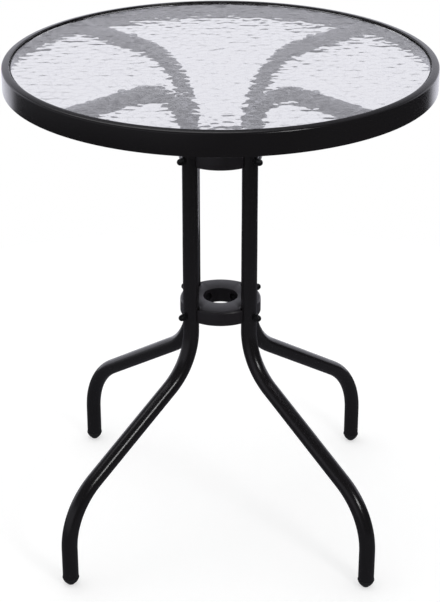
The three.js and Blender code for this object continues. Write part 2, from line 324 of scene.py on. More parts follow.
def boolean(piece: bpy.types.Object, other: bpy.types.Object, operation: Operation) -> None:
    """Joins another mesh to a piece or cuts it away, and removes the other.

    Args:
        piece: the piece that is changed.
        other: the mesh to join or cut.
        operation: which of the two.
    """
    modifier = piece.modifiers.new(operation.name, "BOOLEAN")
    modifier.operation = operation.value
    modifier.solver = "EXACT"
    modifier.object = other
    evaluated = piece.evaluated_get(bpy.context.evaluated_depsgraph_get())
    mesh = bpy.data.meshes.new_from_object(evaluated)
    piece.modifiers.clear()
    piece.data = mesh
    smooth(mesh, SHARP_DEGREES)
    bpy.data.objects.remove(other)


def edges_of(node: str) -> tuple[np.ndarray, np.ndarray]:
    """The lowest and highest corners of a node of the frame."""
    low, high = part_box(node)
    return np.array(low), np.array(high)


# Shader nodes


def opaque(colour: Triple) -> tuple[float, ...]:
    """A colour as a socket takes it, with a full fourth part."""
    return (*colour, 1.0)


class Value:
    """One number in a shader, which adds a Math node for each operator used on it."""

    def __init__(self, shader: "Shader", socket: bpy.types.NodeSocket) -> None:
        """Wraps an output socket of a shader's tree."""
        self.shader, self.socket = shader, socket

    def _math(self, operation: str, *terms: "Value | float") -> "Value":
        """The outcome of one Math node on the given terms."""
        return self.shader.value("ShaderNodeMath", 0, {"operation": operation}, dict(enumerate(terms)))

    def __add__(self, other: "Value | float") -> "Value":
        """This plus another."""
        return self._math("ADD", self, other)

    def __radd__(self, other: float) -> "Value":
        """A number plus this."""
        return self._math("ADD", other, self)

    def __sub__(self, other: "Value | float") -> "Value":
        """This less another."""
        return self._math("SUBTRACT", self, other)

    def __rsub__(self, other: float) -> "Value":
        """A number less this."""
        return self._math("SUBTRACT", other, self)

    def __mul__(self, other: "Value | float") -> "Value":
        """This times another."""
        return self._math("MULTIPLY", self, other)

    def __rmul__(self, other: float) -> "Value":
        """A number times this."""
        return self._math("MULTIPLY", other, self)

    def __or__(self, other: "Value | float") -> "Value":
        """The larger of this and another."""
        return self._math("MAXIMUM", self, other)

    def step(self, low: float, high: float) -> "Value":
        """Nothing below low, one above high, and a smooth rise between them."""
        inputs = {"Value": self, "From Min": low, "From Max": high}
        return self.shader.value("ShaderNodeMapRange", 0, {"interpolation_type": "SMOOTHSTEP"}, inputs)


class Shader:
    """The node tree of a material or a world, and the one way in which nodes are added to it."""

    def __init__(self, owner: "bpy.types.Material | bpy.types.World") -> None:
        """Takes over a tree and empties it.

        Args:
            owner: the material or world whose tree it is.
        """
        owner.use_nodes = True
        self.tree = owner.node_tree
        self.tree.nodes.clear()

    def node(self, kind: str, settings: dict | None = None, inputs: dict | None = None) -> bpy.types.Node:
        """Adds a node.

        Args:
            kind: the node's type.
            settings: its properties, set before its sockets are filled.
            inputs: for each input, by name or place, a number, a colour, a Value, an output
                socket, or a node whose first output is meant.

        Returns:
            The new node.
        """
        made = self.tree.nodes.new(kind)
        for name, setting in (settings or {}).items():
            setattr(made, name, setting)
        for name, source in (inputs or {}).items():
            if isinstance(source, Value):
                source = source.socket
            elif isinstance(source, bpy.types.Node):
                source = source.outputs[0]
            if isinstance(source, bpy.types.NodeSocket):
                self.tree.links.new(source, made.inputs[name])
            else:
                made.inputs[name].default_value = source
        return made

    def value(self, kind: str, output: str | int, settings: dict | None = None,
              inputs: dict | None = None) -> Value:
        """Adds a node and wraps one of its outputs."""
        return Value(self, self.node(kind, settings, inputs).outputs[output])

    def noise(self, size: float, detail: float = 2.0, roughness: float = 0.5) -> Value:
        """Adds soft noise on object coordinates, which are metres in the table's own frame.

        Args:
            size: about how large its features are in metres.
            detail: how many finer layers it has.
            roughness: how strong those layers are.

        Returns:
            The noise, from 0 to 1.
        """
        places = self.node("ShaderNodeTexCoord").outputs["Object"]
        inputs = {"Vector": places, "Scale": 1 / size, "Detail": detail, "Roughness": roughness}
        return self.value("ShaderNodeTexNoise", 0, None, inputs)

    def blend(self, share: "Value | float", first: Triple, second: Triple) -> bpy.types.NodeSocket:
        """A colour between two colours."""
        colours = {MIX_FACTOR: share, MIX_FIRST: opaque(first), MIX_SECOND: opaque(second)}
        return self.node("ShaderNodeMix", {"data_type": "RGBA"}, colours).outputs[MIX_RESULT]

    def bump(self, height: Value, depth: float) -> bpy.types.Node:
        """A normal bent by a height from 0 to 1 that stands for the given depth in metres."""
        return self.node("ShaderNodeBump", None, {"Height": height, "Distance": depth})

    def mixed(self, share: "Value | bpy.types.NodeSocket", first: bpy.types.Node,
              second: bpy.types.Node) -> bpy.types.Node:
        """The first shader where the share is 0, and the second where it is 1."""
        return self.node("ShaderNodeMixShader", None, {0: share, 1: first, 2: second})

    def rays(self) -> tuple[Value, Value]:
        """Tells rays apart by what they met last.

        Returns:
            Two masks: one for rays from the camera or bent in glass, and one for all other
            rays that a glossy surface mirrored.
        """
        path = self.node("ShaderNodeLightPath").outputs
        seen = Value(self, path["Is Camera Ray"]) | Value(self, path["Is Transmission Ray"])
        return seen, Value(self, path["Is Glossy Ray"]) * (1 - seen)

    def finish(self, last: bpy.types.Node, output: str = "ShaderNodeOutputMaterial") -> None:
        """Joins the last shader to the output."""
        self.node(output, None, {"Surface": last})


# Finishes


@dataclass(frozen=True)
class Finish(ABC):
    """A finish: the name of its material, and the slot of the part that wears it."""

    name: str
    slot: str

    @abstractmethod
    def surface(self, shader: Shader) -> bpy.types.Node:
        """Draws up the finish.

        Args:
            shader: the tree to draw it up in.

        Returns:
            The last shader.
        """

    def material(self) -> bpy.types.Material:
        """Makes the finish's material.

        Returns:
            The new material.
        """
        made = bpy.data.materials.new(self.name)
        shader = Shader(made)
        shader.finish(self.surface(shader))
        return made


@dataclass(frozen=True)
class PowderCoat(Finish):
    """Semi-gloss black powder coat: fine orange peel, and a slightly uneven colour and gloss."""

    name: str = "black_powder_coat"
    slot: str = "frame_paint"
    dark: Triple = (0.0075, 0.0068, 0.0076)
    pale: Triple = (0.0098, 0.0090, 0.0102)
    cloud_size: float = 60 * MM
    cloud_detail: float = 3.0
    gloss_low: float = 0.17
    gloss_spread: float = 0.08
    gloss_size: float = 9 * MM
    peel_size: float = 1.6 * MM
    peel_depth: float = 0.012 * MM

    def surface(self, shader: Shader) -> bpy.types.Node:
        """Paint whose colour and roughness follow two soft noises.

        Args:
            shader: the tree to draw it up in.

        Returns:
            The last shader.
        """
        cloud = shader.noise(self.cloud_size, self.cloud_detail)
        return shader.node("ShaderNodeBsdfPrincipled", None, {
            "Base Color": shader.blend(cloud, self.dark, self.pale),
            "Roughness": shader.noise(self.gloss_size) * self.gloss_spread + self.gloss_low,
            "Normal": shader.bump(shader.noise(self.peel_size), self.peel_depth),
        })


@dataclass(frozen=True)
class RippledGlass(Finish):
    """Clear tempered glass, darkened by painted shade in the creases of its rippled side, with a faint veil
    there too.

    Light from the lamps passes through it to what lies below.
    """

    name: str = "rippled_glass"
    slot: str = "glass"
    clear: Triple = (0.762, 0.762, 0.80)
    # Painted shade: the darker colour the glass takes along its creases, where bent light draws dark lines
    crease: Triple = (0.61, 0.605, 0.65)
    shade: Triple = (0.86, 0.88, 0.88)
    veil: Triple = (0.80, 0.80, 0.84)
    veil_share: float = 0.13
    roughness: float = 0.0
    refraction: float = 1.52

    def surface(self, shader: Shader) -> bpy.types.Node:
        """Glass that is darker by painted shade and veiled along the creases that the mesh's attribute
        marks.

        Args:
            shader: the tree to draw it up in.

        Returns:
            The last shader.
        """
        crease = shader.value("ShaderNodeAttribute", "Fac", {"attribute_name": "crease"})
        # Painted shade: the base colour darkens along the creases
        glass = shader.node("ShaderNodeBsdfPrincipled", None, {
            "Base Color": shader.blend(crease, self.clear, self.crease),
            "Roughness": self.roughness,
            "IOR": self.refraction,
            "Transmission Weight": 1.0,
        })
        veil = shader.node("ShaderNodeBsdfDiffuse", None, {"Color": opaque(self.veil)})
        through = shader.node("ShaderNodeBsdfTransparent", None, {"Color": opaque(self.shade)})
        shadow = shader.node("ShaderNodeLightPath").outputs["Is Shadow Ray"]
        return shader.mixed(shadow, shader.mixed(crease * self.veil_share, glass, veil), through)


@dataclass(frozen=True)
class Moulded(Finish):
    """A moulded plastic or rubber with a fine spark-eroded grain and faint clouding."""

    dark: Triple
    pale: Triple
    roughness: float
    roughness_spread: float = 0.12
    cloud_size: float = 14 * MM
    cloud_detail: float = 3.0
    grain_size: float = 0.9 * MM
    grain_detail: float = 3.0
    grain_coarseness: float = 0.6
    grain_depth: float = 0.03 * MM

    def surface(self, shader: Shader) -> bpy.types.Node:
        """Plastic whose grain both dulls it and bends its normal.

        Args:
            shader: the tree to draw it up in.

        Returns:
            The last shader.
        """
        cloud = shader.noise(self.cloud_size, self.cloud_detail)
        grain = shader.noise(self.grain_size, self.grain_detail, self.grain_coarseness)
        return shader.node("ShaderNodeBsdfPrincipled", None, {
            "Base Color": shader.blend(cloud, self.dark, self.pale),
            "Roughness": grain * self.roughness_spread + self.roughness,
            "Normal": shader.bump(grain, self.grain_depth),
        })


@dataclass(frozen=True)
class BlackSteel(Finish):
    """Black-coated steel of bolts and nuts, with the coating rubbed a little thinner in patches."""

    name: str = "black_steel"
    slot: str = "fastener_steel"
    dark: Triple = (0.012, 0.012, 0.013)
    worn: Triple = (0.05, 0.05, 0.052)
    metallic: float = 0.6
    roughness: float = 0.32
    patch_size: float = 2.2 * MM
    patch_detail: float = 3.0
    patch_range: Pair = (0.55, 0.85)
    patch_wear: float = 0.5
    patch_dullness: float = 0.15
    grain_size: float = 0.5 * MM
    grain_depth: float = 0.01 * MM

    def surface(self, shader: Shader) -> bpy.types.Node:
        """Steel that is paler and duller where a noise leaves a patch.

        Args:
            shader: the tree to draw it up in.

        Returns:
            The last shader.
        """
        patches = shader.noise(self.patch_size, self.patch_detail).step(*self.patch_range)
        return shader.node("ShaderNodeBsdfPrincipled", None, {
            "Base Color": shader.blend(patches * self.patch_wear, self.dark, self.worn),
            "Metallic": self.metallic,
            "Roughness": patches * self.patch_dullness + self.roughness,
            "Normal": shader.bump(shader.noise(self.grain_size), self.grain_depth),
        })


HUB_PLASTIC = Moulded("hub_plastic", "hub_plastic", dark=(0.0095, 0.008, 0.010),
                      pale=(0.0148, 0.0125, 0.0155), roughness=0.29)
FOOT_PLASTIC = Moulded("foot_plastic", "foot_plastic", dark=(0.010, 0.010, 0.011),
                       pale=(0.016, 0.016, 0.017), roughness=0.42)
PAD_RUBBER = Moulded("pad_rubber", "pad_rubber", dark=(0.22, 0.22, 0.23),
                     pale=(0.28, 0.28, 0.29), roughness=0.62)
SEAL_VINYL = Moulded("seal_vinyl", "seal", dark=(0.018, 0.018, 0.020),
                     pale=(0.026, 0.026, 0.028), roughness=0.38)


class Paintbox:
    """Makes each finish's material once, and gives pieces their finish and place in the frame."""

    def __init__(self) -> None:
        """Starts with no material made."""
        self.made: dict[str, bpy.types.Material] = {}

    def dress(self, piece: bpy.types.Object, finish: Finish, *nodes: str) -> None:
        """Gives a piece its finish, and its place in the frame.

        Args:
            piece: the finished piece.
            finish: the finish to put on it.
            *nodes: the frame's nodes that the piece stands for.
        """
        if finish.name not in self.made:
            self.made[finish.name] = finish.material()
        piece.data.materials.append(self.made[finish.name])
        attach(piece, BODY)
        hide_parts(*nodes)
        LOG.info("%s: %d faces, %s", piece.name, len(piece.data.polygons), finish.name)

    def stand(self, corner: Corner, name: str, node: str, shell: Shell, finish: Finish,
              sharp: float = SHARP_DEGREES) -> None:
        """Makes and dresses the piece at one corner, from a form drawn along X.

        Args:
            corner: the corner that it is turned to.
            name: the piece's name, less the corner.
            node: the name of the frame's node, less the corner.
            shell: the form.
            finish: the finish to put on it.
            sharp: the angle in degrees from which an edge is sharp.
        """
        made = piece_of(f"{name}_{corner.label}", shell.spun(corner.angle), sharp=sharp)
        self.dress(made, finish, f"{node}_{corner.label}")


# The rim and what is welded to it


@dataclass
class Rim:
    """The steel band: its outer face, a round corner, the lip, and the flange round the glass."""

    paint: Paintbox
    sheet: float = 1.2 * MM
    lip_width: float = 10.5 * MM
    lip_rise: float = 1.5 * MM
    lip_swell: float = 0.2 * MM
    swell_share: float = 0.72
    corner_radius: float = 3 * MM
    flange_height: float = 8 * MM
    fold_easing: float = 1.6 * MM
    edge_easing: float = 0.4 * MM
    corner_steps: int = 12
    lip_steps: int = 12
    fold_steps: int = 8
    columns: int = 320
    radius: float = field(init=False)
    bottom: float = field(init=False)
    top: float = field(init=False)

    def __post_init__(self) -> None:
        """Reads the rim's place from the frame."""
        low, high = edges_of("rim")
        self.radius, self.bottom, self.top = high[0], low[2], high[2]

    @property
    def wall_inside(self) -> float:
        """The inner radius of the band."""
        return self.radius - self.sheet

    @property
    def lip_inside(self) -> float:
        """The radius of the lip's inner edge."""
        return self.radius - self.lip_width

    @property
    def lean(self) -> float:
        """The angle in radians at which the lip falls outward."""
        return math.atan2(self.lip_rise, self.lip_width)

    def lip_height(self, radius: float, depth: float) -> float:
        """The height of a line along the lip: z = top - (r - inside) tan a - d / cos a.

        Args:
            radius: the distance from the table's axis.
            depth: how far the line lies below the lip's face.

        Returns:
            The height over the floor.
        """
        return self.top - (radius - self.lip_inside) * math.tan(self.lean) - depth / math.cos(self.lean)

    def section(self) -> np.ndarray:
        """The band's closed section as (r, z) points.

        The face runs up the outside, round the corner, along the lip, which swells by
        4 w s (1 - s), and over the fold down the flange. The back is the same line moved by
        the sheet. All raw edges are eased.

        Returns:
            The points, anticlockwise.
        """
        centre = self.radius - self.corner_radius
        corner = (centre, self.lip_height(centre, self.corner_radius))
        bend = arc(corner, self.corner_radius, 0, 90 - math.degrees(self.lean), self.corner_steps)
        share = np.append(np.linspace(0, self.swell_share, self.lip_steps + 1)[1:], 1)[:, None]
        lip = bend[-1] + (np.array([self.lip_inside, self.top]) - bend[-1]) * share
        lip += np.array([0, 4 * self.lip_swell]) * share * (1 - share)
        flange_end = (self.lip_inside, self.top - self.flange_height)
        line = np.concatenate([[(self.radius, self.bottom)], bend, lip, [flange_end]])
        face = eased(line, {len(line) - 2: self.fold_easing}, self.fold_steps)
        back = offset_left(line, self.sheet)[::-1]
        raw_edges = (0, len(face) - 1, len(face), len(face) + len(back) - 1)
        return eased(np.concatenate([face, back]), dict.fromkeys(raw_edges, self.edge_easing))

    def build(self) -> None:
        """Makes the band."""
        band = piece_of("rim_band", ring_shell(turned(self.section(), self.columns)))
        self.paint.dress(band, PowderCoat(), "rim")


@dataclass
class Spigots:
    """The stubs on the rim's wall that the arms slip over, and the screws that lock them."""

    paint: Paintbox
    rim: Rim
    wall: float = 2 * MM
    length: float = 36 * MM
    rim_gap: float = 0.3 * MM
    screw_diameter: float = 4.6 * MM
    head_diameter: float = 9 * MM
    head_height: float = 2.4 * MM
    head_fullness: float = 0.98
    dome_share: float = 0.85
    dome_steps: int = 13
    cross_width: float = 1.1 * MM
    cross_length: float = 5 * MM
    cross_depth: float = 1.2 * MM
    columns: int = 40
    radius: float = field(init=False)
    height: float = field(init=False)

    def __post_init__(self) -> None:
        """Reads the spigots' radius and height from the frame."""
        low, high = edges_of("rim_spigot_front_right")
        self.radius, self.height = (high[2] - low[2]) / 2, (high[2] + low[2]) / 2

    def spigot(self) -> Shell:
        """A short tube along X whose outer end follows the rim: x = sqrt(R² - y²).

        Returns:
            Its outside and inside as one closed surface.
        """
        angles = around(self.columns)
        inner, reach = self.rim.wall_inside - self.length, self.rim.wall_inside - self.rim_gap
        bore = self.radius - self.wall
        rows = []
        for radius, coped in ((self.radius, False), (self.radius, True), (bore, True), (bore, False)):
            y, z = radius * np.cos(angles), radius * np.sin(angles)
            x = np.sqrt(reach ** 2 - y ** 2) if coped else np.full_like(y, inner)
            rows.append(np.stack([x, y, z + self.height], axis=1))
        return ring_shell(np.array(rows))

    def screw(self, low: float, high: float, middle: float) -> Shell:
        """A round-headed screw with a cross in its head, pointing up.

        The head is z = h (1 - sqrt(1 - f s²)), raised by the cross's depth inside its two bars.

        Args:
            low: the underside of the head.
            high: the tip of the shank.
            middle: the distance of the screw from the table's axis.

        Returns:
            The screw's surface.
        """
        head, shank = self.head_diameter / 2, self.screw_diameter / 2
        seat = low + self.head_height
        share = np.linspace(0, 1, self.dome_steps + 1)
        rise = self.head_height * self.dome_share * (1 - np.sqrt(1 - self.head_fullness * share ** 2))
        profile = np.concatenate([
            np.stack([head * share, low + rise], axis=1),
            [(head, seat), (shank, seat), (shank, high), (0, high)],
        ])
        grid = turned(profile, self.columns)
        across, along = np.abs(grid[..., 0]), np.abs(grid[..., 1])
        half, reach = self.cross_width / 2, self.cross_length / 2
        in_bar = (across < half) & (along < reach) | (along < half) & (across < reach)
        in_bar[len(share):] = False
        grid[..., 2] += np.where(in_bar, self.cross_depth, 0)
        return capped_shell(grid).moved(x=middle)

    def build(self) -> None:
        """Makes the four spigots and their screws."""
        low, high = edges_of("arm_screw_front_right")
        middle = math.hypot(*((low + high) / 2)[:2])
        spigot, screw = self.spigot(), self.screw(low[2], high[2], middle)
        for corner in Corner:
            self.paint.stand(corner, "spigot", "rim_spigot", spigot, PowderCoat())
            self.paint.stand(corner, "arm_lock_screw", "arm_screw", screw, BlackSteel())


# The glass


@dataclass
class GlassTop:
    """The glass disc, plane above and rippled below, and the soft strip round its edge."""

    paint: Paintbox
    rim: Rim
    arris: float = 0.8 * MM
    seal_thickness: float = 1 * MM
    seal_easing: float = 0.3 * MM
    ripple_depth: float = 0.34 * MM
    cell_length: float = 19 * MM
    cell_width: float = 14 * MM
    unevenness: float = 0.4
    border_sharpness: float = 30
    border_share: float = 0.16
    wave_depth: float = 0.075 * MM
    wave_length: float = 15 * MM
    wave_spread: Pair = (0.7, 1.5)
    wave_range: float = 3
    waves: int = 32
    reach: int = 2
    nearest: int = 4
    flat_border: float = 4 * MM
    steps: int = 300
    seed: int = 11
    radius: float = field(init=False)
    bottom: float = field(init=False)
    top: float = field(init=False)

    def __post_init__(self) -> None:
        """Reads the glass's place from the frame."""
        low, high = edges_of("glass_top")
        self.radius, self.bottom, self.top = high[0], low[2], high[2]

    def dimples(self, x: np.ndarray, y: np.ndarray) -> tuple[np.ndarray, np.ndarray]:
        """How far each place lies from the middle of its dimple, and how near a border.

        The middles stand on a staggered grid of cells, each shifted at random. With all
        distances d in cells, the first number is the soft minimum -ln(sum exp(-k d²)) / k,
        and the second falls as exp(-((d2² - d1²) / w)²) away from the border of two dimples.

        Args:
            x: the places along X.
            y: the places along Y.

        Returns:
            The squared distance in cells, and the nearness of a border from 0 to 1.
        """
        u, v = x / self.cell_length, y / self.cell_width
        column, row = np.floor(u).astype(int), np.floor(v).astype(int)
        half = math.ceil(self.radius / self.cell_width) + self.reach
        shift = np.random.default_rng(self.seed).uniform(-1, 1, (2 * half, 2 * half, 2)) * self.unevenness
        near = []
        for i in range(-self.reach, self.reach + 1):
            for j in range(-self.reach, self.reach + 1):
                a, b = column + i, row + j
                moved = shift[a + half, b + half]
                across = a + (1 + b % 2) / 2 + moved[..., 0] - u
                along = b + 1 / 2 + moved[..., 1] - v
                near.append(across ** 2 + along ** 2)
        near = np.sort(np.array(near), axis=0)[:self.nearest]
        soft = -np.log(np.sum(np.exp(-self.border_sharpness * near), axis=0)) / self.border_sharpness
        return soft, np.exp(-((near[1] - near[0]) / self.border_share) ** 2)

    def swell(self, x: np.ndarray, y: np.ndarray) -> np.ndarray:
        """A fine random swell: the sum of plane waves cos(k·p + phase), scaled to a spread of one.

        Args:
            x: the places along X.
            y: the places along Y.

        Returns:
            The swell at each place.
        """
        random = np.random.default_rng(self.seed)
        heading = random.uniform(0, TURN, self.waves)
        length = self.wave_length * random.uniform(*self.wave_spread, self.waves)
        phase = random.uniform(0, TURN, self.waves)
        total = np.zeros_like(x)
        for angle, span, start in zip(heading, length, phase):
            total += np.cos((x * math.cos(angle) + y * math.sin(angle)) * TURN / span + start)
        return total / math.sqrt(self.waves / 2)

    def relief(self, x: np.ndarray, y: np.ndarray) -> tuple[np.ndarray, np.ndarray]:
        """How deep the underside is hollowed, and how far each place lies in one of its creases.

        The relief is a field of shallow pillows with creases between them, over which a fine
        swell runs, and it fades out at the very edge by s² (3 - 2 s).

        Args:
            x: the places along X.
            y: the places along Y.

        Returns:
            The hollow in metres, and from 0 to 1 how far each place lies in the creases, which sets where
            the glass carries painted shade.
        """
        distance, border = self.dimples(x, y)
        waves = self.wave_depth * (1 + self.swell(x, y) / self.wave_range)
        hollow = self.ripple_depth * np.clip(distance, 0, 1) + waves
        fade = np.clip((self.radius - np.hypot(x, y)) / self.flat_border, 0, 1)
        fade = fade * fade * (3 - 2 * fade)
        return np.maximum(hollow, 0) * fade, border * fade

    def disc(self) -> tuple[Shell, np.ndarray]:
        """The whole glass, and at each of its vertices how far it lies in the creases, which places the
        painted shade.

        The underside is a square grid drawn out to a disc by x = u·sqrt(1 - v²/2) and
        y = v·sqrt(1 - u²/2). Its edge is carried up over both arrises to the plane top.

        Returns:
            The surface and one number for each vertex.
        """
        count = self.steps + 1
        u, v = np.meshgrid(np.linspace(-1, 1, count), np.linspace(-1, 1, count), indexing="ij")
        reach = self.radius - self.arris
        x, y = u * np.sqrt(1 - v * v / 2) * reach, v * np.sqrt(1 - u * u / 2) * reach
        hollow, crease = self.relief(x, y)
        under = np.stack([x, y, self.bottom + hollow], axis=2).reshape(-1, 3)
        index = np.arange(count * count).reshape(count, count)
        faces = np.stack([index[:-1, :-1], index[:-1, 1:], index[1:, 1:], index[1:, :-1]], axis=-1)
        border = np.concatenate([index[:-1, 0], index[-1, :-1], index[:0:-1, -1], index[0, :0:-1]])
        edge = under[border, :2] / np.linalg.norm(under[border, :2], axis=1, keepdims=True)
        low, high = self.bottom + self.arris, self.top - self.arris
        rows = ((self.radius, low), (self.radius, high), (reach, self.top))
        rings = [at_height(edge * radius, height) for radius, height in rows]
        points = np.concatenate([under, *rings])
        base = len(under) + np.arange(len(rings))[:, None] * len(edge) + np.arange(len(edge))
        lanes = np.concatenate([border[None], base])
        after = np.roll(lanes, -1, axis=1)
        sides = np.stack([lanes[:-1], after[:-1], after[1:], lanes[1:]], axis=-1)
        crease_shades = np.concatenate([crease.ravel(), np.zeros(len(points) - len(under))])
        return Shell(points, [faces.reshape(-1, 4), sides.reshape(-1, 4), lanes[-1:]]), crease_shades

    def seal(self) -> Shell:
        """The soft strip between the edge of the glass and the rim's flange.

        Returns:
            A ring of a small rectangle with eased corners.
        """
        low, high = edges_of("glass_seal")
        outer, inner = high[0], high[0] - self.seal_thickness
        outline = np.array([(inner, low[2]), (outer, low[2]), (outer, high[2]), (inner, high[2])])
        section = eased(outline, dict.fromkeys(range(len(outline)), self.seal_easing))
        return ring_shell(turned(section, self.rim.columns))

    def build(self) -> None:
        """Makes the glass and its edge strip."""
        shell, crease_shades = self.disc()
        sheet = piece_of("glass_sheet", shell)
        # The creases as a mesh attribute, which places the glass's painted shade
        layer = sheet.data.attributes.new("crease", "FLOAT", "POINT")
        layer.data.foreach_set("value", crease_shades.astype(np.float32))
        self.paint.dress(sheet, RippledGlass(), "glass_top")
        self.paint.dress(piece_of("glass_edge_strip", self.seal()), SEAL_VINYL, "glass_seal")


# The legs


@dataclass
class Leg:
    """One bent tube, with its glass pad and its foot cap."""

    paint: Paintbox
    rim: Rim
    spigots: Spigots
    diameter: float = 23 * MM
    wall: float = 1.2 * MM
    gap: float = 0.3 * MM
    circle: float = 59 * MM
    arch_radius: float = 95 * MM
    splay_radius: float = 95 * MM
    foot_radius: float = 110 * MM
    foot_circle: float = 300 * MM
    foot_straight: float = 46 * MM
    arm_end_gap: float = 1.5 * MM
    splay_below_hub: float = 14 * MM
    ovality: float = 0.03
    sides: int = 48
    bend_steps: int = 30
    straight_steps: int = 3
    sharp: float = 50
    pad_circle: float = 180 * MM
    pad_radius: float = 5.5 * MM
    pad_edge: float = 0.7 * MM
    pad_stem: float = 2.3 * MM
    barb_radius: float = 3.5 * MM
    barb_height: float = 2.5 * MM
    pad_steps: int = 6
    cap_height: float = 12 * MM
    cap_tip: float = 5 * MM
    cap_toe: float = 0.6 * MM
    cap_bulge: float = 1.1 * MM
    collar_height: float = 1.6 * MM
    collar_lip: float = 0.6 * MM
    collar_easing: float = 0.4 * MM
    collar_groove: float = 0.35 * MM
    plug_length: float = 18 * MM
    plug_wall: float = 1.8 * MM
    plug_gap: float = 0.4 * MM
    taper_steps: int = 12
    edge_steps: int = 4
    columns: int = 56

    @property
    def radius(self) -> float:
        """The tube's outer radius."""
        return self.diameter / 2

    @property
    def arm_height(self) -> float:
        """The height of the arm's centre line, which is the spigots' own."""
        return self.spigots.height

    @property
    def arm_end(self) -> float:
        """The distance of the arm's end from the table's axis."""
        return self.rim.wall_inside - self.arm_end_gap

    @property
    def tube_end(self) -> float:
        """The height of the tube's lower end."""
        return self.cap_height + self.gap

    def runs(self) -> list[Triple]:
        """The tube as a bender reads it, from the arm's end to the foot.

        The slope between the last two bends is the line that both bends touch.

        Returns:
            For each run its length if straight, its bend radius and its turn in radians.
        """
        low, _ = edges_of("lower_hub")
        splay = low[2] - self.splay_below_hub
        radii = self.splay_radius + self.foot_radius
        across = self.foot_circle - self.circle - radii
        down = splay - self.tube_end - self.foot_straight
        slope = math.sqrt(across ** 2 + down ** 2 - radii ** 2)
        turn = math.atan2(across, down) + math.atan2(radii, slope)
        upright = self.arm_height - self.arch_radius - splay
        return [
            (self.arm_end - self.circle - self.arch_radius, 0, 0),
            (0, self.arch_radius, math.pi / 2),
            (upright, 0, 0),
            (0, self.splay_radius, turn),
            (slope, 0, 0),
            (0, self.foot_radius, -turn),
            (self.foot_straight, 0, 0),
        ]

    def centre_line(self) -> tuple[np.ndarray, np.ndarray, np.ndarray]:
        """The stations of the tube: their (x, z) places, headings and how flattened each is.

        A bend's stations lie on a circle beside the heading; the flattening is sin² along it.

        Returns:
            Places, headings in radians, and flattening from 0 to 1.
        """
        place, heading = np.array([self.arm_end, self.arm_height]), math.pi
        places, headings, flats = [place[None]], [np.array([heading])], [np.zeros(1)]
        for straight, radius, turn in self.runs():
            if straight:
                steps = np.linspace(0, 1, self.straight_steps + 1)[1:, None]
                run = place + steps * straight * np.array([math.cos(heading), math.sin(heading)])
                turned_to, flat = np.full(len(run), heading), np.zeros(len(run))
            else:
                side = math.copysign(radius, turn)
                centre = place + side * np.array([-math.sin(heading), math.cos(heading)])
                share = np.linspace(0, 1, self.bend_steps + 1)[1:]
                turned_to = heading + turn * share
                run = centre + side * np.stack([np.sin(turned_to), -np.cos(turned_to)], axis=1)
                flat = np.sin(share * math.pi) ** 2
            places.append(run)
            headings.append(turned_to)
            flats.append(flat)
            place, heading = run[-1], turned_to[-1]
        return np.concatenate(places), np.concatenate(headings), np.concatenate(flats)

    def tube(self) -> Shell:
        """The tube: at each station a ring p + r(n cos a · (1 - f) + b sin a · (1 + f)).

        Here n lies in the leg's plane, b across it, and f is the small flattening of a bend.

        Returns:
            The tube's outside and inside as one closed surface.
        """
        places, headings, flats = self.centre_line()
        angles = around(self.sides)
        normal = np.stack([-np.sin(headings), np.zeros_like(headings), np.cos(headings)], axis=1)
        across = np.array([0.0, -1.0, 0.0])
        centre = np.stack([places[:, 0], np.zeros(len(places)), places[:, 1]], axis=1)
        squeeze = (self.ovality / 2 * flats)[:, None, None]
        in_plane = normal[:, None, :] * np.cos(angles)[None, :, None] * (1 - squeeze)
        sideways = across * np.sin(angles)[None, :, None] * (1 + squeeze)
        outside, inside = (centre[:, None, :] + radius * (in_plane + sideways)
                           for radius in (self.radius, self.radius - self.wall))
        return ring_shell(np.concatenate([outside, inside[::-1]]))

    def pad(self) -> Shell:
        """A rubber button on the arm: its underside follows the tube, z = sqrt(R² - y²).

        Returns:
            The button and its stem with a barb, as one surface.
        """
        low, high = edges_of("glass_pad_front_right")
        tip, top = low[2], high[2]
        barb = tip + self.barb_height
        stem = np.array([(0, tip), (self.pad_stem, tip), (self.barb_radius, barb), (self.pad_stem, barb)])
        steps = self.pad_steps
        under = np.stack([np.linspace(self.pad_stem, self.pad_radius, steps), np.full(steps, barb)], axis=1)
        edge = arc((self.pad_radius - self.pad_edge, top - self.pad_edge), self.pad_edge, 0, 90, steps)
        grid = turned(np.concatenate([stem, under, edge, [(0, top)]]), self.columns)
        rows = slice(len(stem), len(stem) + len(under))
        saddle = self.radius + self.gap
        grid[rows, :, 2] = self.arm_height + np.sqrt(saddle ** 2 - grid[rows, :, 1] ** 2)
        return capped_shell(grid).moved(x=self.pad_circle)

    def cap(self) -> Shell:
        """A tapered plastic foot: r = tip + (waist - tip)·s + bulge·sin(pi·s) up to the collar.

        Returns:
            The cap with its collar, a fine groove below it and its plug, as one surface.
        """
        toe, top, easing, steps = self.cap_toe, self.cap_height, self.collar_easing, self.edge_steps
        collar, under = self.radius + self.collar_lip, top - self.collar_height
        waist = collar - self.collar_groove
        share = np.linspace(0, 1, self.taper_steps + 1)
        width = self.cap_tip + (waist - self.cap_tip) * share + self.cap_bulge * np.sin(math.pi * share)
        taper = np.stack([width, toe + (under - toe - self.collar_groove) * share], axis=1)
        plug, plug_top = self.radius - self.wall - self.plug_gap, self.tube_end + self.plug_length
        bore = plug - self.plug_wall
        profile = np.concatenate([
            [(0, 0)],
            arc((self.cap_tip - toe, toe), toe, -90, 0, steps)[:-1],
            taper,
            [(waist, under)],
            arc((collar - easing, under + easing), easing, -90, 0, steps),
            arc((collar - easing, top - easing), easing, 0, 90, steps),
            [(plug, top), (plug, plug_top), (bore, plug_top), (bore, top), (0, top)],
        ])
        return capped_shell(turned(profile, self.columns)).moved(x=self.foot_circle)

